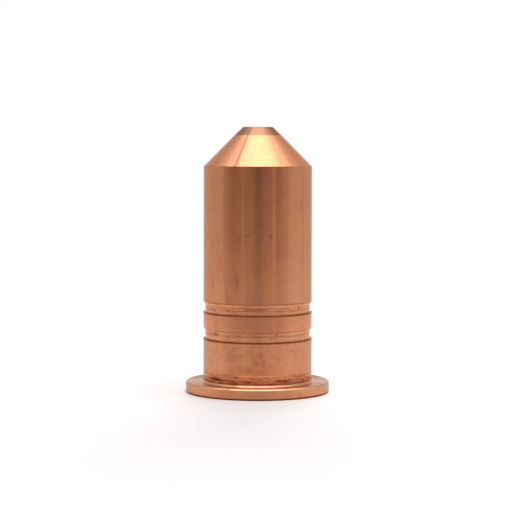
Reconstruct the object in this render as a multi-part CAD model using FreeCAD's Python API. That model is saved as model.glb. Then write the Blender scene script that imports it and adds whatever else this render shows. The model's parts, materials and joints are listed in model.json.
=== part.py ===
import FreeCAD, Part
import math
import os

# Long-body plasma torch nozzle, turned from one copper bar. Sizes are in millimetres.
# The origin is the centre of the flange's underside. Z is the turning axis and points at the tip.

# Barrel, from the underside of the flange to the tip face
OVERALL_LENGTH = 34.1
BARREL_DIAMETER = 14.0
SHOULDER_BREAK = 0.06  # where the barrel meets the nose

# Flange, which the torch's retaining cap clamps against the head
FLANGE_THICKNESS = 1.4
FLANGE_PROJECTION = 2.25  # out of the barrel, on the radius
FLANGE_EDGE_RADIUS = 0.15

# Root land, the stretch above the flange that only has the roughing cut
ROOT_LAND_LENGTH = 1.35
ROOT_LAND_STEP = 0.03  # left on the radius
ROOT_FILLET_RADIUS = 0.18

# Two shallow ring grooves with a ring of full diameter between them.
# Each has a square lower wall, a straight floor and a ramp back up to the barrel.
LOWER_LAND_LENGTH = 5.53  # from the flange to the lower groove
RING_WIDTH = 2.07
GROOVE_DEPTH = 0.25
LOWER_FLOOR_WIDTH = 1.13
LOWER_RAMP_LENGTH = 0.2
UPPER_FLOOR_WIDTH = 1.0
UPPER_RAMP_LENGTH = 0.46

# Nose cone with a slightly blunter bevel round the tip face
NOSE_LENGTH = 5.02
TIP_FACE_DIAMETER = 3.86
TIP_BEVEL_LENGTH = 1.1
TIP_BEVEL_HALF_ANGLE = 46.7  # degrees from the axis

# Inside, from the mouth in the flange to the arc orifice in the tip
WALL_THICKNESS = 2.2  # barrel wall around the electrode bore
GAS_RING_LEDGE = 0.8  # step from the gas ring's seat in to the electrode bore
GAS_RING_SEAT_DEPTH = 2.5
MOUTH_CHAMFER = 0.4
BORE_CHAMFER = 0.3
CHAMBER_HALF_ANGLE = 45.0  # degrees from the axis
ORIFICE_DIAMETER = 1.8
ORIFICE_LENGTH = 3.7
ORIFICE_CHAMFER = 0.12

# Worked out from the sizes above
BARREL_RADIUS = BARREL_DIAMETER / 2
FLANGE_RADIUS = BARREL_RADIUS + FLANGE_PROJECTION
ROOT_RADIUS = BARREL_RADIUS + ROOT_LAND_STEP
ROOT_TOP = FLANGE_THICKNESS + ROOT_LAND_LENGTH
SHOULDER = OVERALL_LENGTH - NOSE_LENGTH
TIP_RADIUS = TIP_FACE_DIAMETER / 2
BEVEL_RADIUS = TIP_RADIUS + TIP_BEVEL_LENGTH * math.tan(math.radians(TIP_BEVEL_HALF_ANGLE))
LOWER_GROOVE = FLANGE_THICKNESS + LOWER_LAND_LENGTH
UPPER_GROOVE = LOWER_GROOVE + LOWER_FLOOR_WIDTH + LOWER_RAMP_LENGTH + RING_WIDTH
BORE_RADIUS = BARREL_RADIUS - WALL_THICKNESS
GAS_RING_RADIUS = BORE_RADIUS + GAS_RING_LEDGE
ORIFICE_RADIUS = ORIFICE_DIAMETER / 2
CHAMBER_TOP = OVERALL_LENGTH - ORIFICE_LENGTH
CHAMBER_LENGTH = (BORE_RADIUS - ORIFICE_RADIUS) / math.tan(math.radians(CHAMBER_HALF_ANGLE))
CHAMBER_BOTTOM = CHAMBER_TOP - CHAMBER_LENGTH

AXIS = FreeCAD.Vector(0, 0, 1)
ORIGIN = FreeCAD.Vector(0, 0, 0)
CUT_OVERRUN = 1.0  # how far a cutting tool stands clear of the surface it enters
SAME_PLACE = 1e-6


def turned(half_section):
    """Revolve a closed half section, given as (radius, height) corners, about the turning axis."""
    corners = [FreeCAD.Vector(radius, 0, height) for radius, height in half_section]
    outline = Part.makePolygon(corners + corners[:1])
    return Part.Face(outline).revolve(ORIGIN, AXIS, 360)


def rims(solid, *places):
    """The circular edges of a turned solid at each (radius, height) given."""
    return [
        edge
        for radius, height in places
        for edge in solid.Edges
        if isinstance(edge.Curve, Part.Circle)
        and abs(edge.Curve.Radius - radius) < SAME_PLACE
        and abs(edge.Curve.Center.z - height) < SAME_PLACE
    ]


def blank():
    """The outside as it leaves the roughing and facing cuts: flange, barrel and nose, edges broken."""
    body = turned(
        [
            (0, 0),
            (FLANGE_RADIUS, 0),
            (FLANGE_RADIUS, FLANGE_THICKNESS),
            (ROOT_RADIUS, FLANGE_THICKNESS),
            (ROOT_RADIUS, ROOT_TOP),
            (BARREL_RADIUS, ROOT_TOP),
            (BARREL_RADIUS, SHOULDER),
            (BEVEL_RADIUS, OVERALL_LENGTH - TIP_BEVEL_LENGTH),
            (TIP_RADIUS, OVERALL_LENGTH),
            (0, OVERALL_LENGTH),
        ]
    )
    flange_edges = rims(body, (FLANGE_RADIUS, 0), (FLANGE_RADIUS, FLANGE_THICKNESS))
    body = body.makeFillet(FLANGE_EDGE_RADIUS, flange_edges)
    body = body.makeFillet(ROOT_FILLET_RADIUS, rims(body, (ROOT_RADIUS, FLANGE_THICKNESS)))
    return body.makeFillet(SHOULDER_BREAK, rims(body, (BARREL_RADIUS, SHOULDER)))


def groove_tool(bottom, floor_width, ramp_length):
    """The ring that the grooving tool removes: square below, ramped above."""
    floor_radius = BARREL_RADIUS - GROOVE_DEPTH
    clear_radius = BARREL_RADIUS + CUT_OVERRUN
    floor_top = bottom + floor_width
    ramp_top = floor_top + ramp_length
    return turned(
        [
            (floor_radius, bottom),
            (clear_radius, bottom),
            (clear_radius, ramp_top),
            (BARREL_RADIUS, ramp_top),
            (floor_radius, floor_top),
        ]
    )


def bore_tool():
    """The hollow: gas ring seat, electrode bore, converging arc chamber and orifice."""
    return turned(
        [
            (0, -CUT_OVERRUN),
            (GAS_RING_RADIUS, -CUT_OVERRUN),
            (GAS_RING_RADIUS, GAS_RING_SEAT_DEPTH),
            (BORE_RADIUS, GAS_RING_SEAT_DEPTH),
            (BORE_RADIUS, CHAMBER_BOTTOM),
            (ORIFICE_RADIUS, CHAMBER_TOP),
            (ORIFICE_RADIUS, OVERALL_LENGTH + CUT_OVERRUN),
            (0, OVERALL_LENGTH + CUT_OVERRUN),
        ]
    )


def nozzle():
    """The finished nozzle."""
    body = blank()
    body = body.cut(groove_tool(LOWER_GROOVE, LOWER_FLOOR_WIDTH, LOWER_RAMP_LENGTH))
    body = body.cut(groove_tool(UPPER_GROOVE, UPPER_FLOOR_WIDTH, UPPER_RAMP_LENGTH))
    body = body.cut(bore_tool())
    body = body.makeChamfer(MOUTH_CHAMFER, rims(body, (GAS_RING_RADIUS, 0)))
    body = body.makeChamfer(BORE_CHAMFER, rims(body, (BORE_RADIUS, GAS_RING_SEAT_DEPTH)))
    return body.makeChamfer(ORIFICE_CHAMFER, rims(body, (ORIFICE_RADIUS, OVERALL_LENGTH)))


def main():
    """Write the nozzle as one STEP file."""
    os.makedirs("parts", exist_ok=True)
    solid = nozzle().Solids[0]
    solid.exportStep("parts/nozzle.step")
    print(f"nozzle: {solid.Volume:.1f} mm3, valid {solid.isValid()}, {len(solid.Faces)} faces")


main()
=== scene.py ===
"""A long-body plasma torch nozzle in bare turned copper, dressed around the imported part.

Lengths are in millimetres until a mesh, a light or the camera is placed, which are in metres.
"""

import enum
import json
import logging
import math
from dataclasses import dataclass, field
from functools import partial

import bpy
from mathutils import Euler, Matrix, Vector


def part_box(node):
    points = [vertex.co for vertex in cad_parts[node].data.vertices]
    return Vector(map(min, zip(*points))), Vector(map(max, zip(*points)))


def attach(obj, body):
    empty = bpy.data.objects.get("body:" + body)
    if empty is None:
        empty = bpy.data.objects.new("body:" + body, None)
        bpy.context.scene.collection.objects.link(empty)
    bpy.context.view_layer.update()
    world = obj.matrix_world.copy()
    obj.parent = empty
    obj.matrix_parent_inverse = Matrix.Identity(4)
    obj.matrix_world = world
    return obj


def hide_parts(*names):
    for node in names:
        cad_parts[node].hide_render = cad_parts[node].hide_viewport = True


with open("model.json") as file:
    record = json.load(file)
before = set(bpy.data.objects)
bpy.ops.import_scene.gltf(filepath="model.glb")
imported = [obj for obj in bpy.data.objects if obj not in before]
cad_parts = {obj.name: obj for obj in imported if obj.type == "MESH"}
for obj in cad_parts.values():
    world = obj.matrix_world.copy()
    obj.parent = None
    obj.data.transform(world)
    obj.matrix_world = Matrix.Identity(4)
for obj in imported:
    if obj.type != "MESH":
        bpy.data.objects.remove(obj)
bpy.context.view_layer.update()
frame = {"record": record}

MM = 0.001
NODE = "nozzle"
QUARTER_TURN = 0.25  # as the shader counts it, in whole turns
NOISE_MIDDLE = (0.5, 0.5, 0.5)

# The mesh's own layers: each face's finish; how dark an even film and painted shade lie, or below 0 how pale
# wear and painted highlights make it; and how far it is stained in patches
ZONE = "zone"
GRIME_AND_PAINTED_LIGHT = "grime"
STAIN = "stain"

log = logging.getLogger("nozzle")


class Finish(enum.IntEnum):
    """The stretches of surface that the cutting tools left different, from the tip down and then inside."""

    TIP = 0
    NOSE = 1
    BARREL = 2
    GROOVE = 3
    RING = 4
    LAND = 5
    ROOT = 6
    FACE = 7
    FLANGE = 8
    BORE = 9


def linear(code: str) -> tuple[float, float, float, float]:
    """Turn an sRGB hex colour into linear light.

    Args:
        code: The colour as six hex digits, with or without a leading hash.

    Returns:
        Linear red, green and blue, and an alpha of 1.
    """
    digits = code.lstrip("#")
    channels = [int(digits[i:i + 2], 16) / 255 for i in (0, 2, 4)]
    light = [c / 12.92 if c <= 0.04045 else ((c + 0.055) / 1.055) ** 2.4 for c in channels]
    return (*light, 1.0)


# What a node's input can be given: a fixed value, or the node or output that feeds it
Feed = bpy.types.Node | bpy.types.NodeSocket | bpy.types.Material | tuple | float | str | bool | None


def add_node(
    tree: bpy.types.NodeTree,
    kind: str,
    *feeds: Feed,
    sockets: dict[str, Feed] | None = None,
    **settings: str | float | bool,
) -> bpy.types.Node:
    """Add a node, set it up and link what feeds it.

    Args:
        tree: The node tree that gets the node.
        kind: The node's type, such as "ShaderNodeMath".
        *feeds: What its inputs get, in order. None leaves an input alone.
        sockets: What its inputs get, by their names.
        **settings: The node's own properties.

    Returns:
        The new node.
    """
    node = tree.nodes.new(kind)
    for name, value in settings.items():
        setattr(node, name, value)
    live = [socket for socket in node.inputs if socket.enabled]
    named = {socket.name: socket for socket in reversed(live)}
    pairs = [(live[i], feed) for i, feed in enumerate(feeds) if feed is not None]
    pairs += [(named[name], feed) for name, feed in (sockets or {}).items()]
    for socket, feed in pairs:
        if isinstance(feed, bpy.types.Node):
            feed = next(out for out in feed.outputs if out.enabled)
        if isinstance(feed, bpy.types.NodeSocket):
            tree.links.new(feed, socket)
        else:
            socket.default_value = feed
    return node


def rotated(arrow: Vector, angle: float) -> Vector:
    """Turn a flat vector.

    Args:
        arrow: The vector.
        angle: How far to turn it anticlockwise, in radians.

    Returns:
        The turned vector.
    """
    cos, sin = math.cos(angle), math.sin(angle)
    return Vector((arrow.x * cos - arrow.y * sin, arrow.x * sin + arrow.y * cos))


@dataclass(frozen=True)
class Corner:
    """One corner of the half section, and the stretch of surface that starts at it.

    Attributes:
        radius: Distance from the axis.
        height: Distance from the underside.
        finish: Of the stretch.
        rounding: Radius that the corner is rounded to.
        rows: How far apart the stretch's rings of vertices stand.
        line: How dark the film and painted shade are along the corner, from 0 to 1, or below 0 how pale wear
            and painted highlights make it.
        grime: How dark an even film and painted shade lie on the stretch, from 0 to 1, or below 0 how pale
            wear and painted highlights make it.
        stain: How far the stretch is stained in patches, from 0 to 1.
    """

    radius: float
    height: float
    finish: Finish
    rounding: float = 0.0
    rows: float = 1.0
    line: float = 0.0
    grime: float = 0.0
    stain: float = 0.0


@dataclass(frozen=True)
class Station:
    """One ring of vertices.

    Attributes:
        radius: Distance from the axis.
        height: Distance from the underside.
        finish: Of the strip of faces that starts at it.
        grime: How dark an even film and painted shade lie on it, from 0 to 1, or below 0 how pale wear and
            painted highlights make it.
        stain: How far it is stained in patches, from 0 to 1.
    """

    radius: float
    height: float
    finish: Finish
    grime: float
    stain: float


@dataclass
class HalfSection:
    """A closed half section with rounded corners, cut into rings close enough for smooth light.

    Attributes:
        corners: In order, with the metal on the left.
        arc_step: The most that a rounded corner turns from one ring to the next, in radians.
        guard: How far from the ends of a straight stretch its first and last rings stand.
        room: The most of a stretch's length that one rounded corner takes up.
        straight: The bend under which a corner is left as it is, in radians.
    """

    corners: list[Corner]
    arc_step: float = math.radians(12)
    guard: float = 0.03
    room: float = 0.45
    straight: float = math.radians(1)

    def stations(self) -> list[Station]:
        """Round every corner and cut every straight stretch.

        Returns:
            The rings in order, with the first repeated at the end to close the section.
        """
        count = len(self.corners)
        arcs = [self._arc(i) for i in range(count)]
        found: list[Station] = []
        for i, corner in enumerate(self.corners):
            before = self.corners[i - 1]
            for k, point in enumerate(arcs[i]):
                side = corner if 2 * k >= len(arcs[i]) - 1 else before
                found.append(Station(point.x, point.y, side.finish, corner.line, side.stain))
            for point in self._cuts(arcs[i][-1], arcs[(i + 1) % count][0], corner.rows):
                found.append(Station(point.x, point.y, corner.finish, corner.grime, corner.stain))
        return found + found[:1]

    def _arc(self, i: int) -> list[Vector]:
        """Round one corner.

        Args:
            i: The corner's number.

        Returns:
            The points of its arc, or the corner itself where it is sharp.
        """
        before, corner = self.corners[i - 1], self.corners[i]
        after = self.corners[(i + 1) % len(self.corners)]
        here = Vector((corner.radius, corner.height))
        back = Vector((before.radius, before.height)) - here
        ahead = Vector((after.radius, after.height)) - here
        opening = back.angle(ahead)
        turn = math.pi - opening
        if corner.rounding <= 0 or turn < self.straight:
            return [here]
        reach = min(corner.rounding * math.tan(turn / 2), self.room * back.length, self.room * ahead.length)
        start = here + back.normalized() * reach
        inward = (back.normalized() + ahead.normalized()).normalized()
        centre = here + inward * (reach / math.tan(turn / 2) / math.sin(opening / 2))
        steps = max(2, math.ceil(turn / self.arc_step))
        way = 1 if ahead.x * back.y - ahead.y * back.x > 0 else -1
        return [centre + rotated(start - centre, way * turn * k / steps) for k in range(steps + 1)]

    def _cuts(self, start: Vector, end: Vector, rows: float) -> list[Vector]:
        """Cut a straight stretch, with one ring close to each end to hold the light there.

        Args:
            start: Where the stretch starts.
            end: Where it ends.
            rows: How far apart its rings stand.

        Returns:
            The rings' places, or none where the stretch is too short for them.
        """
        run = end - start
        if run.length <= 3 * self.guard:
            return []
        guard = self.guard / run.length
        inner = max(1, round((run.length - 2 * self.guard) / rows))
        return [start + run * (guard + (1 - 2 * guard) * k / inner) for k in range(inner + 1)]


@dataclass
class Lathe:
    """Geometry Nodes that turn a half section into a closed mesh about Z.

    Attributes:
        finishes: The material of each finish.
        crease: The bend past which an edge is hard, in radians.
        seam: How far apart two vertices are at most that are one, in metres.
        tear_stretch: How many times longer a tear is round the nozzle than along it.
        tear_fade: Over what share of a tear's length the tears fade out at the band's edges.
    """

    finishes: dict[Finish, bpy.types.Material]
    crease: float = math.radians(28)
    seam: float = 1e-7
    tear_stretch: float = 3.0
    tear_fade: float = 0.4

    def build(self) -> bpy.types.NodeTree:
        """Build the tree.

        Returns:
            The tree, with named inputs for the segments, the roughened band and its seed.
        """
        tree = bpy.data.node_groups.new("lathe", "GeometryNodeTree")
        tree.interface.new_socket("Half Section", in_out="INPUT", socket_type="NodeSocketGeometry")
        tree.interface.new_socket("Segments", in_out="INPUT", socket_type="NodeSocketInt")
        for title in ("Rough Bottom", "Rough Top", "Rough Radius", "Rough Depth", "Rough Grain", "Seed"):
            tree.interface.new_socket(title, in_out="INPUT", socket_type="NodeSocketFloat")
        tree.interface.new_socket("Turned", in_out="OUTPUT", socket_type="NodeSocketGeometry")
        given = add_node(tree, "NodeGroupInput").outputs
        shape = self._revolve(tree, given)
        shape = self._roughen(tree, given, shape)
        shape = self._shade(tree, shape)
        shape = add_node(tree, "GeometryNodeRealizeInstances", shape)
        add_node(tree, "NodeGroupOutput", self._dress(tree, shape))
        return tree

    def _revolve(self, tree: bpy.types.NodeTree, given: bpy.types.NodeOutputs) -> bpy.types.Node:
        """Wrap a grid of segments by rings round the axis, and close its seam.

        Args:
            tree: The tree.
            given: Its inputs.

        Returns:
            The node that gives the closed mesh, with its layers.
        """
        add = partial(add_node, tree)
        section, segments = given["Half Section"], given["Segments"]
        rings = add("GeometryNodeAttributeDomainSize", section).outputs["Point Count"]
        columns = add("ShaderNodeMath", segments, 1.0, operation="ADD")
        grid = add("GeometryNodeMeshGrid", sockets={"Vertices X": columns, "Vertices Y": rings})
        # The grid is numbered ring by ring within each column. Half a step keeps a rounding error from
        # dropping a vertex into the column before its own.
        index = add("GeometryNodeInputIndex")
        ring = add("ShaderNodeMath", index, rings, operation="FLOORED_MODULO")
        past = add("ShaderNodeMath", index, 0.5, operation="ADD")
        column = add("ShaderNodeMath", past, rings, operation="DIVIDE")
        column = add("ShaderNodeMath", column, operation="FLOOR")
        share = add("ShaderNodeMath", column, segments, operation="DIVIDE")
        turn = add("ShaderNodeMath", share, math.tau, operation="MULTIPLY")
        flat = add(
            "GeometryNodeSampleIndex",
            sockets={"Geometry": section, "Value": add("GeometryNodeInputPosition"), "Index": ring},
            data_type="FLOAT_VECTOR",
        )
        flat = add("ShaderNodeSeparateXYZ", flat).outputs
        cosine = add("ShaderNodeMath", turn, operation="COSINE")
        sine = add("ShaderNodeMath", turn, operation="SINE")
        x = add("ShaderNodeMath", flat["X"], cosine, operation="MULTIPLY")
        y = add("ShaderNodeMath", flat["X"], sine, operation="MULTIPLY")
        place = add("ShaderNodeCombineXYZ", x, y, flat["Z"])
        wrapped = add("GeometryNodeSetPosition", grid.outputs["Mesh"], None, place)
        # A column has one face fewer than it has rings
        strips = add("ShaderNodeMath", rings, 1.0, operation="SUBTRACT")
        strip = add("ShaderNodeMath", index, strips, operation="FLOORED_MODULO")
        zone = add(
            "GeometryNodeSampleIndex",
            sockets={
                "Geometry": section,
                "Value": add("GeometryNodeInputNamedAttribute", ZONE, data_type="FLOAT"),
                "Index": strip,
            },
            data_type="FLOAT",
        )
        shape = add(
            "GeometryNodeStoreNamedAttribute",
            wrapped,
            sockets={"Name": ZONE, "Value": zone},
            data_type="FLOAT",
            domain="FACE",
        )
        for name in (GRIME_AND_PAINTED_LIGHT, STAIN):
            found = add("GeometryNodeInputNamedAttribute", name, data_type="FLOAT")
            sampled = add(
                "GeometryNodeSampleIndex",
                sockets={"Geometry": section, "Value": found, "Index": ring},
                data_type="FLOAT",
            )
            shape = add("GeometryNodeStoreNamedAttribute", shape, sockets={"Name": name, "Value": sampled})
        return add("GeometryNodeMergeByDistance", shape, sockets={"Distance": self.seam})

    def _roughen(
        self, tree: bpy.types.NodeTree, given: bpy.types.NodeOutputs, shape: bpy.types.Node
    ) -> bpy.types.Node:
        """Sink shallow uneven tears into one band of the outside, as a blunt tool leaves in a corner.

        Args:
            tree: The tree.
            given: Its inputs.
            shape: The node that gives the mesh.

        Returns:
            The node that gives the torn mesh.
        """
        add = partial(add_node, tree)
        position = add("GeometryNodeInputPosition")
        place = add("ShaderNodeSeparateXYZ", position).outputs
        squashed = add("ShaderNodeVectorMath", position, (1.0, 1.0, self.tear_stretch), operation="MULTIPLY")
        scale = add("ShaderNodeMath", 1.0, given["Rough Grain"], operation="DIVIDE")
        noise = add(
            "ShaderNodeTexNoise",
            sockets={"Vector": squashed, "W": given["Seed"], "Scale": scale, "Detail": 3.0, "Roughness": 0.6},
            noise_dimensions="4D",
        )
        edge = add("ShaderNodeMath", given["Rough Grain"], self.tear_fade, operation="MULTIPLY")
        low = add("ShaderNodeMath", given["Rough Bottom"], edge, operation="ADD")
        high = add("ShaderNodeMath", given["Rough Top"], edge, operation="SUBTRACT")
        bottom, top = given["Rough Bottom"], given["Rough Top"]
        rise = add("ShaderNodeMapRange", place["Z"], bottom, low, interpolation_type="SMOOTHSTEP")
        fall = add("ShaderNodeMapRange", place["Z"], top, high, interpolation_type="SMOOTHSTEP")
        flat = add("ShaderNodeVectorMath", position, (1.0, 1.0, 0.0), operation="MULTIPLY")
        radius = add("ShaderNodeVectorMath", flat, operation="LENGTH").outputs["Value"]
        outside = add("ShaderNodeMath", radius, given["Rough Radius"], operation="GREATER_THAN")
        band = add("ShaderNodeMath", rise, fall, operation="MULTIPLY")
        band = add("ShaderNodeMath", band, outside, operation="MULTIPLY")
        depth = add("ShaderNodeMath", noise.outputs["Fac"], given["Rough Depth"], operation="MULTIPLY")
        depth = add("ShaderNodeMath", depth, band, operation="MULTIPLY")
        depth = add("ShaderNodeMath", depth, -1.0, operation="MULTIPLY")
        outward = add("ShaderNodeVectorMath", flat, operation="NORMALIZE")
        step = add("ShaderNodeVectorMath", outward, operation="SCALE", sockets={"Scale": depth})
        return add("GeometryNodeSetPosition", shape, None, None, step)

    def _shade(self, tree: bpy.types.NodeTree, shape: bpy.types.Node) -> bpy.types.Node:
        """Smooth the faces, and keep an edge hard where the surface turns sharply.

        Args:
            tree: The tree.
            shape: The node that gives the mesh.

        Returns:
            The node that gives the smoothed mesh.
        """
        add = partial(add_node, tree)
        soft = add("GeometryNodeSetShadeSmooth", shape, sockets={"Shade Smooth": True}, domain="FACE")
        bend = add("GeometryNodeInputMeshEdgeAngle").outputs["Unsigned Angle"]
        hard = add("ShaderNodeMath", bend, self.crease, operation="GREATER_THAN")
        edges = {"Selection": hard, "Shade Smooth": False}
        return add("GeometryNodeSetShadeSmooth", soft, sockets=edges, domain="EDGE")

    def _dress(self, tree: bpy.types.NodeTree, shape: bpy.types.Node) -> bpy.types.Node:
        """Give each zone its finish.

        Args:
            tree: The tree.
            shape: The node that gives the mesh.

        Returns:
            The last of the nodes that set a material.
        """
        add = partial(add_node, tree)
        zone = add("GeometryNodeInputNamedAttribute", ZONE, data_type="FLOAT")
        for finish, material in self.finishes.items():
            here = add("ShaderNodeMath", zone, float(finish), 0.5, operation="COMPARE")
            shape = add("GeometryNodeSetMaterial", shape, sockets={"Selection": here, "Material": material})
        return shape


def mount_size(name: str, key: str) -> float:
    """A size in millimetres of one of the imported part's mounts, by its key."""
    return next(m["dims"][key] for m in frame["record"]["mounts"] if m["name"] == name)


def mount_height(name: str) -> float:
    """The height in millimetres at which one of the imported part's mounts lies."""
    return next(m["pos_m"][2] for m in frame["record"]["mounts"] if m["name"] == name) / MM


@dataclass
class NozzleSizes:
    """The turned form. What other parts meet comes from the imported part, and the rest is its own."""

    overall_length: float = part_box(NODE)[1].z / MM
    barrel_radius: float = mount_size("barrel", "r_mm")

    # Flange
    flange_radius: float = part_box(NODE)[1].x / MM
    flange_thickness: float = mount_height("flange_seat")
    flange_edge: float = 0.15  # rounding under the rim
    flange_painted_shade: float = 0.08  # how far the painted shade where the rim meets the table reaches past it
    flange_break: float = 0.13  # chamfer over the rim

    # Root, where the roughing cut ran up against the flange and tore
    root_length: float = 1.35
    root_step: float = 0.03  # how far the torn band stands out
    root_fillet: float = 0.17
    root_break: float = 0.04  # rounding of the fillet's two corners
    root_line: float = 0.45  # a brown line that runs round, above the flange
    root_torn: float = 0.85  # where the torn surface turns bare, above the flange

    # Two ring grooves, each with a flat floor and a ramp out of it, and the land and the ring under them
    land_length: float = 5.53
    ring_width: float = 2.07
    groove_depth: float = 0.25
    lower_floor: float = 1.27
    lower_ramp: float = 0.06
    upper_floor: float = 1.0
    upper_ramp: float = 0.46
    edge_break: float = 0.03
    lip: float = 0.025  # the burr that the grooving tool raised
    painted_shade_below: float = 0.16  # how far the painted shade of a groove's lower corner reaches down from the lip, and up the floor from its corner
    painted_shade_above: float = 0.06

    # The floor is cut in passes. Each one starts at a share of its width, with its own film of grime.
    floor_passes: tuple[tuple[float, float], ...] = ((0.35, 0.0), (0.5, 0.2), (0.68, 0.05), (0.84, -0.12))
    ripple: float = 0.008  # how far every other pass stands out
    ramp_break: float = 0.05
    ramp_share: float = 0.6  # how far up its ramp a groove turns brown

    # Nose cone and tip
    shoulder_break: float = 0.06
    nose_length: float = 5.02
    tip_radius: float = 1.93
    tip_length: float = 1.05
    tip_half_angle: float = math.radians(46.7)
    tip_break: float = 0.05

    # Inside, from the mouth to the orifice
    bore_radius: float = mount_size("electrode_bore", "r_mm")
    seat_radius: float = mount_size("gas_ring_seat", "r_mm")
    orifice_radius: float = mount_size("orifice", "r_mm")
    seat_depth: float = 2.5
    mouth_chamfer: float = 0.4
    bore_chamfer: float = 0.3
    chamber_half_angle: float = math.radians(45.0)
    orifice_length: float = 3.7
    orifice_chamfer: float = 0.12

    def groove(self, bottom: float, floor: float, ramp: float) -> list[Corner]:
        """Draw a ring groove: a sharp lower lip, a floor cut in passes and a ramp back out.

        Args:
            bottom: The height of its lower wall.
            floor: The width of its floor.
            ramp: The length of its ramp.

        Returns:
            The corners from just under the lip to the brown end of the ramp.
        """
        corner = partial(Corner, finish=Finish.GROOVE)
        deep = self.barrel_radius - self.groove_depth
        ramp_radius = deep + self.ramp_share * self.groove_depth
        ramp_height = bottom + floor + self.ramp_share * ramp
        cuts = []
        for k, (share, film) in enumerate(self.floor_passes):
            radius = deep + self.ripple * (k % 2)
            cuts.append(corner(radius, bottom + floor * share, rows=0.08, grime=film, stain=0.35))
        return [
            # The first three corners paint shade into the groove's lower corner: down the face under the lip,
            # over the lip and along the lower wall
            corner(self.barrel_radius, bottom - self.painted_shade_below, rows=0.05, grime=0.75),
            corner(self.barrel_radius + self.lip, bottom, rows=0.05, line=1.0, grime=1.0),
            corner(deep, bottom, rows=0.05, line=1.0, grime=0.8),
            corner(deep, bottom + self.painted_shade_above, rows=0.08, grime=-0.1, stain=0.15),
            *cuts,
            corner(deep, bottom + floor, rounding=self.ramp_break, rows=0.08, line=0.3, stain=0.2),
            corner(ramp_radius, ramp_height, rows=0.05, line=0.1, grime=0.4),
        ]

    def flange(self) -> list[Corner]:
        """Draw the flange.

        Returns:
            The corners from its underside to where its upper face meets the root.
        """
        seat = self.flange_thickness
        bevel = seat - self.flange_break
        rim, inner = self.flange_radius, self.barrel_radius + self.root_step + self.root_fillet
        return [
            # The rim's rounded underside and the stretch over it are painted dark: the shade where the rim
            # meets the table
            Corner(rim, 0, Finish.FLANGE, rounding=self.flange_edge, rows=0.05, line=1.0, grime=0.9),
            Corner(rim, self.flange_edge + self.flange_painted_shade, Finish.FLANGE, rows=0.2, stain=0.05),
            # The chamfer over the rim, the face's outer edge and the root's fillet are painted pale:
            # highlights
            Corner(rim, bevel, Finish.FLANGE, self.edge_break, rows=0.05, line=-0.3, grime=-0.3),
            Corner(rim - self.flange_break, seat, Finish.FACE, self.edge_break, rows=0.3, line=-0.3),
            Corner(inner, seat, Finish.ROOT, self.root_break, rows=0.05, line=-0.2, grime=-0.4),
        ]

    def root(self) -> list[Corner]:
        """Draw the torn band over the flange.

        Returns:
            The corners from its fillet to the step down to the plain land.
        """
        torn = partial(Corner, finish=Finish.ROOT, rows=0.07)
        seat, radius = self.flange_thickness, self.barrel_radius + self.root_step
        top = seat + self.root_length
        return [
            torn(radius, seat + self.root_fillet, rounding=self.root_break, grime=0.45, stain=0.6),
            torn(radius, seat + self.root_line, line=0.2, grime=0.2, stain=1.0),
            torn(radius, seat + self.root_torn, stain=1.0),
            Corner(radius, top, Finish.LAND, line=0.5, stain=0.5),
            Corner(self.barrel_radius, top + self.root_step, Finish.LAND, rows=0.12, stain=0.1),
        ]

    def outside(self) -> list[Corner]:
        """Draw the whole outside.

        Returns:
            The corners from the flange's underside up to the tip face.
        """
        lower = self.flange_thickness + self.land_length
        ring = lower + self.lower_floor + self.lower_ramp
        upper = ring + self.ring_width
        barrel = upper + self.upper_floor + self.upper_ramp
        shoulder = self.overall_length - self.nose_length
        bevel = self.overall_length - self.tip_length
        bevel_radius = self.tip_radius + self.tip_length * math.tan(self.tip_half_angle)
        return [
            *self.flange(),
            *self.root(),
            *self.groove(lower, self.lower_floor, self.lower_ramp),
            Corner(self.barrel_radius, ring, Finish.RING, self.edge_break, rows=0.15, line=0.5),
            *self.groove(upper, self.upper_floor, self.upper_ramp),
            Corner(self.barrel_radius, barrel, Finish.BARREL, self.edge_break, rows=0.25, line=1.0),
            Corner(self.barrel_radius, shoulder, Finish.NOSE, self.shoulder_break, rows=0.25, line=0.15),
            Corner(bevel_radius, bevel, Finish.TIP, rows=0.1, line=0.3),
            Corner(self.tip_radius, self.overall_length, Finish.TIP, self.tip_break, rows=0.2, line=0.8),
        ]

    def inside(self) -> list[Corner]:
        """Draw the bores.

        Returns:
            The corners from the orifice's exit down to the mouth.
        """
        bore = partial(Corner, finish=Finish.BORE)
        chamber_top = self.overall_length - self.orifice_length
        chamber_length = (self.bore_radius - self.orifice_radius) / math.tan(self.chamber_half_angle)
        return [
            bore(self.orifice_radius + self.orifice_chamfer, self.overall_length),
            bore(self.orifice_radius, self.overall_length - self.orifice_chamfer),
            bore(self.orifice_radius, chamber_top),
            bore(self.bore_radius, chamber_top - chamber_length),
            bore(self.bore_radius, self.seat_depth + self.bore_chamfer),
            bore(self.bore_radius + self.bore_chamfer, self.seat_depth),
            bore(self.seat_radius, self.seat_depth),
            bore(self.seat_radius, self.mouth_chamfer),
            Corner(self.seat_radius + self.mouth_chamfer, 0, Finish.FLANGE),
        ]


@dataclass(frozen=True)
class Mark:
    """A small ragged blemish on the outside.

    Attributes:
        bearing: Where its middle is round the nozzle in degrees, with 0 at the front and 90 on the right.
        height: How far its middle is above the underside.
        around: Half its width.
        along: Half its height.
        depth: How dark it is, from 0 to 1, or below 0 how bright it is rubbed.
    """

    bearing: float
    height: float
    around: float
    along: float
    depth: float = 0.5


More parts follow.
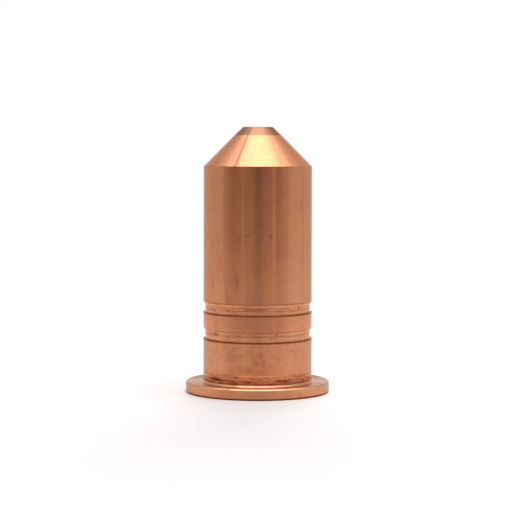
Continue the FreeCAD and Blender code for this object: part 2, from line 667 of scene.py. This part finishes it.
@dataclass(frozen=True)
class TurnedCopper:
    """Bare copper as one tool left it: its grooves run round, so light is drawn out along the axis.

    Attributes:
        roughness: Of the clean metal.
        clean: The metal's own colour, as sRGB hex.
        flushed: The same where heat has turned it pinker.
        oxide_and_shade: The colour of the brown film on it, also used for the painted shade in the grooves'
            lower corners and under the flange's rim.
        rubbed_and_highlight: The colour of its freshly worn edges, also used for the painted highlights on
            the flange's top edges and the root's fillet.
        glancing: The tint of what it mirrors at a glancing angle.
        anisotropy: How far the tool's grooves draw the light out, from 0 to 1.
        dulling: How much rougher the metal is under the film.
        clouding: How dark the film's patches are on a stretch without stains, from 0 to 1.
        staining: How much darker they are on a fully stained stretch.
        smear: How many times longer a patch runs round than along.
        hairlines: How much the handling scratches along the axis show, from 0 to 1.
        scratch_depth: How deep those scratches are.
        film_depth: How many times deeper than a scratch the surface is sunk where it is darkest.
        feed: How far apart the tool's ridges stand.
        ridge: How high they are.
        cloud: How wide the flushed clouds are.
        cloud_edge: Where a cloud starts and where it is full, in its noise.
        patch: How wide a patch of film is, such as a finger or a drop of coolant leaves.
        patch_edge: Where a patch starts and where it is full, in its noise.
        scratch_gap: How far apart the scratches stand.
        scratch_edge: Where a scratch starts and where it is full, in its noise.
        scratch_stretch: How many times longer a scratch is than it is wide.
        notch: How far apart the notches in a mark's outline stand.
        raggedness: How deep those notches are, as a share of half the mark's size.
        core: The share of a mark, from its middle out, that has its full depth.
        marks: Its own blemishes.
    """

    roughness: float
    clean: str = "F8A77A"
    flushed: str = "F4A47F"
    oxide_and_shade: str = "843C08"
    rubbed_and_highlight: str = "FFDDC0"
    glancing: str = "FFF3E8"
    anisotropy: float = 1.0
    dulling: float = 0.1
    clouding: float = 0.1
    staining: float = 0.6
    smear: float = 3.0
    hairlines: float = 0.15
    scratch_depth: float = 0.0015
    film_depth: float = 2.0
    feed: float = 0.35  # a real finishing cut feeds about 0.1, too fine to show, so it is drawn coarser
    ridge: float = 0.00015
    cloud: float = 2.86
    cloud_edge: tuple[float, float] = (0.4, 0.65)
    patch: float = 1.11
    patch_edge: tuple[float, float] = (0.48, 0.66)
    scratch_gap: float = 0.222  # real ones are nearer 0.05 apart, too fine to show, so they are drawn coarser
    scratch_edge: tuple[float, float] = (0.52, 0.75)
    scratch_stretch: float = 14.3
    notch: float = 0.333
    raggedness: float = 1.4
    core: float = 0.4
    marks: tuple[Mark, ...] = ()

    def build(self, name: str) -> bpy.types.Material:
        """Build the material.

        Args:
            name: What the material is called.

        Returns:
            The new material.
        """
        material = bpy.data.materials.new(name)
        material.use_nodes = True
        tree = material.node_tree
        tree.nodes.clear()
        add = partial(add_node, tree)
        place = add("ShaderNodeTexCoord").outputs["Object"]
        place = add("ShaderNodeVectorMath", place, sockets={"Scale": 1 / MM}, operation="SCALE")
        tarnish_and_painted_light, relief = self._wear(tree, place)
        dull = self.roughness + self.dulling
        shader = add(
            "ShaderNodeBsdfPrincipled",
            sockets={
                "Base Color": self._colour(tree, place, tarnish_and_painted_light),
                "Metallic": 1.0,
                "Specular Tint": linear(self.glancing),
                "Roughness": add("ShaderNodeMapRange", tarnish_and_painted_light, 0.0, 1.0, self.roughness, dull),
                "Anisotropic": self.anisotropy,
                "Anisotropic Rotation": QUARTER_TURN,
                "Tangent": add("ShaderNodeTangent", direction_type="RADIAL", axis="Z"),
                "Normal": add("ShaderNodeBump", sockets={"Distance": MM, "Height": relief}),
            },
        )
        add("ShaderNodeOutputMaterial", shader)
        return material

    def _wear(self, tree: bpy.types.NodeTree, place: bpy.types.Node) -> tuple[bpy.types.Node, bpy.types.Node]:
        """Lay down the film's patches, the scratches, the marks and the tool's ridges.

        Args:
            tree: The material's tree.
            place: Where the surface is, in millimetres.

        Returns:
            How dark the surface is with its brown film and painted shade, or below 0 how pale wear and
            painted highlights make it, and its relief in millimetres.
        """
        add = partial(add_node, tree)
        round_and_along = add("ShaderNodeVectorMath", place, (1.0, 1.0, self.smear), operation="MULTIPLY")
        grain = {"Scale": 1 / self.patch, "Detail": 6.0, "Roughness": 0.62}
        patches = add("ShaderNodeTexNoise", round_and_along, sockets=grain)
        patch = add("ShaderNodeMapRange", patches.outputs["Fac"], *self.patch_edge)
        stain = add("ShaderNodeAttribute", attribute_name=STAIN).outputs["Fac"]
        reach = add("ShaderNodeMath", stain, self.staining, self.clouding, operation="MULTIPLY_ADD")
        tarnish_and_painted_light = add("ShaderNodeMath", patch, reach, operation="MULTIPLY")
        stretch = (1.0, 1.0, 1 / self.scratch_stretch)
        drawn_out = add("ShaderNodeVectorMath", place, stretch, operation="MULTIPLY")
        grain = {"Scale": 1 / self.scratch_gap, "Detail": 4.0, "Roughness": 0.7}
        scratches = add("ShaderNodeTexNoise", drawn_out, sockets=grain)
        scratch = add("ShaderNodeMapRange", scratches.outputs["Fac"], *self.scratch_edge)
        tarnish_and_painted_light = add("ShaderNodeMath", scratch, self.hairlines, tarnish_and_painted_light, operation="MULTIPLY_ADD")
        # The layer holds an even film, painted shade in the grooves' lower corners and under the rim, and
        # painted highlights on the flange's top edges and the root's fillet
        grime = add("ShaderNodeAttribute", attribute_name=GRIME_AND_PAINTED_LIGHT).outputs["Fac"]
        tarnish_and_painted_light = add("ShaderNodeMath", tarnish_and_painted_light, grime, operation="ADD")
        parts = add("ShaderNodeSeparateXYZ", place).outputs
        tarnish_and_painted_light = self._marked(tree, place, parts, tarnish_and_painted_light)
        turns = add("ShaderNodeMath", parts["Z"], math.tau / self.feed, operation="MULTIPLY")
        wave = add("ShaderNodeMath", turns, operation="SINE")
        ridges = add("ShaderNodeMath", wave, self.ridge, operation="MULTIPLY")
        relief = add("ShaderNodeMath", scratch, -self.scratch_depth, ridges, operation="MULTIPLY_ADD")
        sink = -self.film_depth * self.scratch_depth
        relief = add("ShaderNodeMath", tarnish_and_painted_light, sink, relief, operation="MULTIPLY_ADD")
        return tarnish_and_painted_light, relief

    def _marked(
        self,
        tree: bpy.types.NodeTree,
        place: bpy.types.Node,
        parts: bpy.types.NodeOutputs,
        tarnish_and_painted_light: bpy.types.Node,
    ) -> bpy.types.Node:
        """Add this finish's own marks, on the surface unrolled into bearing and height.

        Args:
            tree: The material's tree.
            place: Where the surface is, in millimetres.
            parts: The same, taken apart.
            tarnish_and_painted_light: How dark the surface is before the marks.

        Returns:
            How dark it is with them.
        """
        if not self.marks:
            return tarnish_and_painted_light
        add = partial(add_node, tree)
        front = add("ShaderNodeMath", parts["Y"], -1.0, operation="MULTIPLY")
        bearing = add("ShaderNodeMath", parts["X"], front, operation="ARCTAN2")
        radius = mount_size("barrel", "r_mm")
        around = add("ShaderNodeMath", bearing, radius, operation="MULTIPLY")
        unrolled = add("ShaderNodeCombineXYZ", around, parts["Z"])
        grain = {"Scale": 1 / self.notch, "Detail": 3.0, "Roughness": 0.7}
        ragged = add("ShaderNodeTexNoise", place, sockets=grain)
        ragged = add("ShaderNodeVectorMath", ragged.outputs["Color"], NOISE_MIDDLE, operation="SUBTRACT")
        raggedness = (self.raggedness, self.raggedness, 0.0)
        ragged = add("ShaderNodeVectorMath", ragged, raggedness, operation="MULTIPLY")
        for mark in self.marks:
            middle = (math.radians(mark.bearing) * radius, mark.height, 0.0)
            across = add("ShaderNodeVectorMath", unrolled, middle, operation="SUBTRACT")
            scale = (1 / mark.around, 1 / mark.along, 0.0)
            across = add("ShaderNodeVectorMath", across, scale, ragged, operation="MULTIPLY_ADD")
            far = add("ShaderNodeVectorMath", across, operation="LENGTH").outputs["Value"]
            dab = add("ShaderNodeMapRange", far, 1.0, self.core, 0.0, mark.depth)
            tarnish_and_painted_light = add("ShaderNodeMath", tarnish_and_painted_light, dab, operation="ADD")
        return tarnish_and_painted_light

    def _colour(
        self, tree: bpy.types.NodeTree, place: bpy.types.Node, tarnish_and_painted_light: bpy.types.Node
    ) -> bpy.types.Node:
        """Mix the metal's colour: clean with flushed clouds, pale with wear and painted highlights, brown
        with film and painted shade.

        Args:
            tree: The material's tree.
            place: Where the surface is, in millimetres.
            tarnish_and_painted_light: How dark film and painted shade make it, or below 0 how pale wear and
                painted highlights make it.

        Returns:
            The node that gives the colour.
        """
        add = partial(add_node, tree)
        wide = add("ShaderNodeTexNoise", place, sockets={"Scale": 1 / self.cloud, "Detail": 3.0})
        flush = add("ShaderNodeMapRange", wide.outputs["Fac"], *self.cloud_edge)
        metal = add("ShaderNodeMix", flush, linear(self.clean), linear(self.flushed), data_type="RGBA")
        # Below 0 the surface is worn pale, and on the flange's top edges and the root's fillet it is painted
        # with highlights
        rubbing_and_highlight = add("ShaderNodeMath", tarnish_and_painted_light, -1.0, operation="MULTIPLY", use_clamp=True)
        metal = add("ShaderNodeMix", rubbing_and_highlight, metal, linear(self.rubbed_and_highlight), data_type="RGBA")
        # Above 0 it is brown with film, and in the grooves' lower corners and under the flange's rim it is
        # painted with shade
        film = add("ShaderNodeMath", tarnish_and_painted_light, 1.0, operation="MULTIPLY", use_clamp=True)
        return add("ShaderNodeMix", film, metal, linear(self.oxide_and_shade), data_type="RGBA")


@dataclass
class Nozzle:
    """The whole object: one turned piece.

    Attributes:
        sizes: Of its turned form.
        barrel_marks: Specks across the middle, rub marks under them and long scratches down both flanks.
        nose_marks: Two short pale arcs across the cone.
        groove_marks: Brown dirt in both floors, with two rubbed strips on the lower one.
        ring_marks: Wide faint thumb marks.
        land_marks: Blotches in the middle, nicks and broad rubbed patches at the flanks, two pale scratches.
        root_marks: Brown streaks where the cut tore.
        rim_marks: Specks on the flange's rim.
        segments: How many faces go round.
        rough_depth: How deep the root is torn.
        rough_grain: How long a tear is.
        seed: Of the tears.
    """

    sizes: NozzleSizes = field(default_factory=NozzleSizes)
    barrel_marks: tuple[Mark, ...] = (
        Mark(-11.0, 20.4, 0.36, 0.15, 0.5), Mark(-9.0, 20.6, 0.14, 0.3, 0.45),
        Mark(13.5, 20.3, 0.26, 0.32, 0.6), Mark(0.0, 19.6, 0.34, 0.12, 0.45),
        Mark(-19.0, 20.1, 0.5, 0.5, 0.22), Mark(-1.0, 15.9, 0.7, 0.8, 0.14),
        Mark(-22.0, 14.6, 0.4, 1.4, 0.3), Mark(46.0, 14.5, 2.8, 6.0, -0.08),
        Mark(8.0, 17.0, 0.3, 1.2, 0.25), Mark(-55.0, 18.9, 0.08, 0.9, 0.65),
        Mark(-46.0, 19.6, 0.07, 1.2, 0.45), Mark(-42.0, 17.1, 0.08, 1.3, 0.45),
        Mark(-55.0, 14.2, 0.09, 1.2, 0.5), Mark(-49.0, 16.2, 0.08, 1.4, -0.4),
        Mark(-38.0, 13.6, 0.07, 1.4, -0.3), Mark(52.0, 24.5, 0.06, 2.4, 0.4),
        Mark(53.5, 18.0, 0.06, 2.6, 0.35), Mark(-33.0, 12.8, 0.09, 1.0, 0.4),
    )
    nose_marks: tuple[Mark, ...] = (
        Mark(17.0, 30.3, 1.0, 0.06, -0.3), Mark(-16.0, 30.2, 0.6, 0.05, -0.2),
    )
    groove_marks: tuple[Mark, ...] = (
        Mark(-1.0, 11.15, 2.0, 0.24, 0.35), Mark(-33.0, 10.85, 0.22, 0.12, 0.5),
        Mark(50.0, 11.2, 0.22, 0.3, 0.5), Mark(-51.0, 7.9, 0.5, 0.25, 0.5),
        Mark(2.0, 7.75, 0.7, 0.14, 0.2), Mark(20.0, 7.85, 0.6, 0.12, 0.35),
        Mark(44.0, 8.0, 1.6, 0.15, -0.35), Mark(44.0, 7.4, 1.6, 0.12, -0.3),
    )
    ring_marks: tuple[Mark, ...] = (
        Mark(-14.0, 9.3, 2.0, 1.8, 0.18), Mark(16.0, 9.3, 2.2, 1.8, 0.14),
        Mark(-50.0, 9.2, 0.5, 0.9, 0.15),
    )
    land_marks: tuple[Mark, ...] = (
        Mark(-28.0, 5.0, 0.9, 0.7, 0.12), Mark(-18.0, 5.2, 0.3, 0.6, 0.16),
        Mark(-8.0, 5.9, 0.9, 0.2, 0.14), Mark(3.0, 5.4, 0.3, 0.7, 0.2), Mark(6.0, 4.5, 0.4, 0.8, 0.18),
        Mark(-1.0, 4.3, 0.6, 0.35, 0.14), Mark(-14.0, 3.5, 1.2, 0.7, 0.12),
        Mark(22.0, 4.7, 0.5, 0.7, 0.1), Mark(36.0, 5.7, 0.08, 0.35, 0.5),
        Mark(39.0, 5.9, 0.08, 0.25, 0.5), Mark(56.0, 5.6, 0.1, 0.25, 0.4),
        Mark(-57.0, 5.6, 0.12, 0.25, 0.35), Mark(-57.0, 4.2, 0.12, 0.35, 0.35),
        Mark(-44.0, 4.2, 1.2, 2.4, -0.14), Mark(33.0, 4.2, 1.3, 2.4, -0.1),
        Mark(0.0, 3.3, 1.8, 0.6, 0.12), Mark(-13.5, 4.1, 0.06, 0.9, -0.5),
        Mark(-9.0, 4.2, 0.3, 0.06, -0.7),
    )
    root_marks: tuple[Mark, ...] = (
        Mark(-50.0, 2.2, 1.4, 0.3, 0.6), Mark(-44.0, 2.1, 1.4, 0.14, 0.5),
        Mark(2.0, 2.35, 0.6, 0.12, 0.5), Mark(26.0, 2.1, 1.2, 0.14, 0.4),
        Mark(-10.0, 2.0, 1.6, 0.12, 0.35), Mark(50.0, 2.5, 0.8, 0.12, 0.3),
    )
    rim_marks: tuple[Mark, ...] = (
        Mark(34.5, 0.75, 0.1, 0.16, 0.7), Mark(35.5, 0.62, 0.08, 0.1, 0.6),
        Mark(58.0, 1.0, 0.1, 0.12, 0.6), Mark(-62.0, 1.2, 0.12, 0.1, 0.5), Mark(1.0, 0.6, 0.1, 0.08, 0.3),
    )
    segments: int = 240
    rough_depth: float = 0.04
    rough_grain: float = 0.45
    seed: float = 3.0

    def finishes(self) -> dict[Finish, bpy.types.Material]:
        """Build the copper's finish on each stretch.

        Returns:
            The materials, each named for how it was made.
        """
        recipes = {
            # Faced last and heated by the arc: a dull skin, browner than the cone under it.
            Finish.TIP: TurnedCopper(0.3, clean="C08A6C", flushed="BC8468"),
            # One pass of a keen tool: the brightest face, a clean glare crossed by the faintest rings.
            Finish.NOSE: TurnedCopper(
                0.204, hairlines=0, scratch_depth=0, ridge=0.0008, marks=self.nose_marks
            ),
            # Fine turned along its length, then handled: a sheen drawn out along the axis, that shows the
            # room as upright bands, with hairlines and a few dark flecks in it.
            Finish.BARREL: TurnedCopper(
                0.204, "F8A97A", "F3A27F", glancing="ECF3E8", hairlines=0.18, marks=self.barrel_marks
            ),
            # Plunged with a narrow tool in overlapping bites: soft rings, pale where they are rubbed, brown
            # at the foot of the ramp, and painted shade in the lower corner.
            Finish.GROOVE: TurnedCopper(
                0.26, "FAAE7E", "F8A880", smear=4.0, hairlines=0.04, marks=self.groove_marks
            ),
            # Fine turned and kept clear of fingers by the grooves: a little sharper than the barrel.
            Finish.RING: TurnedCopper(0.17, marks=self.ring_marks),
            # Turned at a coarser feed and gripped there: a broad soft sheen under blotches and nicks.
            Finish.LAND: TurnedCopper(
                0.28, "F8AA7B", "F5A57D", glancing="D8F0F0", smear=1.0, hairlines=0.05, marks=self.land_marks
            ),
            # Torn by a tool that rubbed in the corner: brown streaks that run round, hardly any shine; its
            # fillet has a painted highlight.
            Finish.ROOT: TurnedCopper(0.3, smear=8.0, hairlines=0.05, marks=self.root_marks),
            # Faced: seen almost edge on, so it turns pale with the light of the room behind it.
            Finish.FACE: TurnedCopper(
                0.22, "F8AE7E", "F6AA80", glancing="FFFCF8", clouding=0.04, hairlines=0.04
            ),
            # Fine turned and clean: an even sheen and a few specks, with painted highlights on its top edges
            # and painted shade under the rim.
            Finish.FLANGE: TurnedCopper(
                0.24,
                "F8AE7E",
                "F6AA80",
                glancing="D0E8EB",
                clouding=0.04,
                hairlines=0.04,
                marks=self.rim_marks,
            ),
            # Drilled and bored, and out of the light: dull and plain.
            Finish.BORE: TurnedCopper(0.35),
        }
        return {
            finish: recipe.build(f"turned_copper_{finish.name.lower()}") for finish, recipe in recipes.items()
        }

    def build(self) -> bpy.types.Object:
        """Turn the blank into the finished piece, and hand it to the frame.

        Returns:
            The piece.
        """
        blank = bpy.data.objects.new("blank", self._half_section())
        bpy.context.scene.collection.objects.link(blank)
        tree = Lathe(self.finishes()).build()
        modifier = blank.modifiers.new("lathe", "NODES")
        modifier.node_group = tree
        settings = self._settings()
        for socket in tree.interface.items_tree:
            if socket.name in settings:
                modifier[socket.identifier] = settings[socket.name]
        graph = bpy.context.evaluated_depsgraph_get()
        turned = bpy.data.meshes.new_from_object(blank.evaluated_get(graph), depsgraph=graph)
        bpy.data.objects.remove(blank)
        piece = bpy.data.objects.new("nozzle_turned", turned)
        bpy.context.scene.collection.objects.link(piece)
        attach(piece, "root")
        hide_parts(NODE)
        return piece

    def _half_section(self) -> bpy.types.Mesh:
        """Draw the half section as a chain of edges, with its layers on its vertices.

        Returns:
            The mesh.
        """
        rings = HalfSection(self.sizes.outside() + self.sizes.inside()).stations()
        mesh = bpy.data.meshes.new("half_section")
        points = [(ring.radius * MM, 0, ring.height * MM) for ring in rings]
        mesh.from_pydata(points, [(i, i + 1) for i in range(len(points) - 1)], [])
        layers = {
            ZONE: [float(ring.finish) for ring in rings],
            GRIME_AND_PAINTED_LIGHT: [ring.grime for ring in rings],
            STAIN: [ring.stain for ring in rings],
        }
        for name, values in layers.items():
            mesh.attributes.new(name, "FLOAT", "POINT").data.foreach_set("value", values)
        return mesh

    def _settings(self) -> dict[str, float]:
        """Set the lathe so that only the outside is torn, and only at the root.

        Returns:
            The value of each of its inputs, with lengths in metres.
        """
        seat = self.sizes.flange_thickness
        return {
            "Segments": self.segments,
            "Rough Bottom": (seat + self.sizes.root_fillet) * MM,
            "Rough Top": (seat + self.sizes.root_length) * MM,
            "Rough Radius": (self.sizes.barrel_radius + self.sizes.bore_radius) / 2 * MM,
            "Rough Depth": self.rough_depth * MM,
            "Rough Grain": self.rough_grain * MM,
            "Seed": self.seed,
        }


@dataclass(frozen=True)
class Glow:
    """The room's light in one direction.

    Attributes:
        bearing: Of the upright surface that mirrors it to the camera, in degrees, with 0 at the front and
            90 on the right. A glow at 30 lies 60 degrees round from the camera, and one at 90 right behind.
        level: How bright it is, where 1 is white.
        tint: Its colour, as sRGB hex.
    """

    bearing: float
    level: float
    tint: str = "FFFFFF"


@dataclass(frozen=True)
class Lamp:
    """A soft rectangular lamp that faces the nozzle's foot.

    Attributes:
        name: What it is called.
        place: Of its middle.
        width: From side to side.
        height: From top to bottom.
        radiance: How bright it is, where 1 is white.
    """

    name: str
    place: tuple[float, float, float]
    width: float
    height: float
    radiance: float


@dataclass
class Studio:
    """A pale table under soft lamps, with bright walls and a dim room in front.

    Attributes:
        table_radius: Of the round table.
        table_sides: How many sides it is drawn with.
        table_colour: Of the table itself.
        table_lift: How much brighter it is to the camera, so that it runs into the backdrop.
        table_tint: The colour of that extra light.
        horizon: The room at the nozzle's own height, from behind on the left round to behind on the right.
        ceiling: The same overhead.
        lamps: What throws the soft shadow.
        ceiling_start: How high the ceiling starts in front, as the sine of its elevation.
        ceiling_full: How high it has wholly taken over from the horizon, as a sine too.
        ceiling_drop: How much lower it starts at the sides, for a glow's bearing of one radian.
        spill: The share of the room's light that falls on rough surfaces, which are left to the lamps.
        camera_distance: In front of the axis.
        camera_height: Above the table.
        camera_aside: To the right of the axis.
        camera_pitch: How far the camera looks down, in radians.
        camera_roll: How far it is turned anticlockwise, in radians.
        camera_lens: Its focal length, on a sensor 36 mm wide.
    """

    table_radius: float = 100.0
    table_sides: int = 96
    table_colour: str = "EBE8E8"
    table_lift: float = 0.255
    table_tint: str = "FFF9FC"
    horizon: tuple[Glow, ...] = (
        # The left wall, dimmer the nearer it comes to the camera
        Glow(-90, 1.2), Glow(-78, 0.6), Glow(-66, 0.56, "FFFCF8"), Glow(-53, 0.47), Glow(-41, 0.46),
        Glow(-37.5, 0.34, "FFF4EC"), Glow(-34, 0.29, "FFF0E4"), Glow(-28, 0.18, "FFE8D8"),
        # The dim room in front: a bright upright edge, then the dark camera, then a second edge
        Glow(-16.8, 0.165, "FFE4D0"), Glow(-15.6, 0.34, "FFECE0"), Glow(-14.4, 0.155, "FFE0CC"),
        Glow(-5, 0.16, "FFE0CC"), Glow(-1.8, 0.05, "FFD8C0"), Glow(2, 0.055, "FFD8C0"),
        Glow(8, 0.16, "FFDCC0"), Glow(15.4, 0.19, "FFE0C8"), Glow(16.8, 0.42, "FFF0E4"),
        Glow(18.4, 0.21, "FFE8D8"), Glow(21, 0.20, "FFE8D8"), Glow(24, 0.22, "FFECE0"),
        # The right wall, with a thin gap in it
        Glow(27.5, 0.31, "FFF0E8"), Glow(31.5, 0.33, "FFF0E8"), Glow(35, 0.44, "FFF8F0"), Glow(41, 0.48),
        Glow(53, 0.52), Glow(55.3, 0.42), Glow(58, 0.55), Glow(63, 0.57), Glow(70, 0.55), Glow(78, 0.65),
        Glow(90, 1.2),
    )
    ceiling: tuple[Glow, ...] = (
        # The left half, with a dark beam between the plain ceiling and the lit panel
        Glow(-90, 0.8), Glow(-62, 0.95), Glow(-54, 1.0), Glow(-46, 0.95), Glow(-42, 1.0), Glow(-38, 1.14),
        Glow(-34, 1.42), Glow(-30, 1.5), Glow(-27, 1.62), Glow(-25.5, 0.75), Glow(-23.5, 0.75),
        # The lit panel and the right half
        Glow(-22, 2.2), Glow(-12, 2.45), Glow(0, 2.65), Glow(12, 2.55), Glow(18, 2.25), Glow(22, 2.05),
        Glow(26, 1.62), Glow(30, 1.6), Glow(34, 1.42), Glow(38, 1.14), Glow(42, 1.0), Glow(46, 0.95),
        Glow(54, 1.0), Glow(62, 0.95), Glow(90, 0.8),
    )
    lamps: tuple[Lamp, ...] = (
        Lamp("overhead", (140.0, 0.0, 700.0), 460.0, 370.0, 2.6),
        Lamp("back", (50.0, 640.0, 400.0), 380.0, 290.0, 8.0),
    )
    ceiling_start: float = 0.6
    ceiling_full: float = 0.9
    ceiling_drop: float = 0.12
    spill: float = 0.3
    camera_distance: float = 220.42
    camera_height: float = 30.72
    camera_aside: float = -0.22
    camera_pitch: float = math.radians(3.429)
    camera_roll: float = math.radians(0.13)
    camera_lens: float = 120.36

    def build(self) -> None:
        """Set up the table, the room, the lamps and the camera."""
        self._table()
        self._room()
        for lamp in self.lamps:
            self._hang(lamp)
        self._camera()

    def _table(self) -> None:
        """A round pale table that keeps the nozzle's soft shadow."""
        radius = self.table_radius * MM
        bpy.ops.mesh.primitive_circle_add(vertices=self.table_sides, radius=radius, fill_type="NGON")
        table = bpy.context.object
        table.name = "table"
        material = bpy.data.materials.new("table_white")
        material.use_nodes = True
        tree = material.node_tree
        tree.nodes.clear()
        add = partial(add_node, tree)
        rays = add("ShaderNodeLightPath").outputs
        glow = add("ShaderNodeMath", rays["Is Camera Ray"], self.table_lift, operation="MULTIPLY")
        # White paper: flat and without any shine, so that nothing shows on it but the soft shadow
        paper = add("ShaderNodeBsdfDiffuse", linear(self.table_colour))
        light = add("ShaderNodeEmission", linear(self.table_tint), glow)
        add("ShaderNodeOutputMaterial", add("ShaderNodeAddShader", paper, light))
        table.data.materials.append(material)

    def _room(self) -> None:
        """The room's brightness by direction: round the horizon, overhead, and plain white to the camera."""
        world = bpy.data.worlds.new("room")
        bpy.context.scene.world = world
        world.use_nodes = True
        tree = world.node_tree
        tree.nodes.clear()
        add = partial(add_node, tree)
        # What mirrors a direction to the camera faces halfway between that direction and the camera
        way = add("ShaderNodeSeparateXYZ", add("ShaderNodeTexCoord").outputs["Generated"]).outputs
        ahead = add("ShaderNodeMath", 1.0, way["Y"], operation="SUBTRACT")
        bearing = add("ShaderNodeMath", way["X"], ahead, operation="ARCTAN2")
        share = add("ShaderNodeMapRange", bearing, -math.pi / 2, math.pi / 2)
        lights = []
        for glows in (self.horizon, self.ceiling):
            brightest = max(glow.level for glow in glows)
            ramp = add("ShaderNodeValToRGB", share)
            elements = ramp.color_ramp.elements
            for _ in glows[len(elements):]:
                elements.new(0.5)
            for element, glow in zip(elements, glows):
                element.position = (glow.bearing + 90) / 180
                element.color = [channel * glow.level / brightest for channel in linear(glow.tint)[:3]] + [1]
            lights.append(add("ShaderNodeBackground", ramp, brightest))
        flare = add("ShaderNodeMath", bearing, bearing, operation="MULTIPLY")
        rise = add("ShaderNodeMath", flare, self.ceiling_drop, way["Z"], operation="MULTIPLY_ADD")
        start, full = self.ceiling_start, self.ceiling_full
        overhead = add("ShaderNodeMapRange", rise, start, full, interpolation_type="SMOOTHSTEP")
        around = add("ShaderNodeMixShader", overhead, *lights)
        rays = add("ShaderNodeLightPath").outputs
        dim = add("ShaderNodeMath", rays["Is Diffuse Ray"], 1 - self.spill, operation="MULTIPLY")
        around = add("ShaderNodeMixShader", dim, around)
        backdrop = add("ShaderNodeBackground", linear("FFFFFF"))
        add("ShaderNodeOutputWorld", add("ShaderNodeMixShader", rays["Is Camera Ray"], around, backdrop))

    def _hang(self, lamp: Lamp) -> None:
        """Hang a lamp that the metal doesn't mirror: what it mirrors is the room's own brightness.

        Args:
            lamp: The lamp.
        """
        light = bpy.data.lights.new(lamp.name, "AREA")
        light.shape = "RECTANGLE"
        light.size, light.size_y = lamp.width * MM, lamp.height * MM
        light.energy = lamp.radiance * math.pi * light.size * light.size_y
        holder = bpy.data.objects.new(lamp.name, light)
        holder.location = Vector(lamp.place) * MM
        holder.rotation_euler = Vector(lamp.place).to_track_quat("Z", "Y").to_euler()
        holder.visible_glossy = False
        bpy.context.scene.collection.objects.link(holder)

    def _camera(self) -> None:
        """The camera, looking along +Y and slightly down."""
        lens = bpy.data.cameras.new("camera")
        lens.lens = self.camera_lens
        lens.sensor_width = 36
        lens.clip_start = 0.01
        camera = bpy.data.objects.new("camera", lens)
        camera.location = Vector((self.camera_aside, -self.camera_distance, self.camera_height)) * MM
        look = Euler((math.pi / 2 - self.camera_pitch, 0, 0)).to_matrix()
        camera.rotation_euler = (look @ Euler((0, 0, self.camera_roll)).to_matrix()).to_euler()
        bpy.context.scene.collection.objects.link(camera)
        bpy.context.scene.camera = camera


def main() -> None:
    """Build the nozzle and its studio."""
    logging.basicConfig(level=logging.INFO, format="%(message)s")
    bpy.context.scene.view_settings.view_transform = "Standard"
    piece = Nozzle().build()
    log.info("%s: %d faces", piece.name, len(piece.data.polygons))
    Studio().build()


if __name__ == "__main__":
    main()
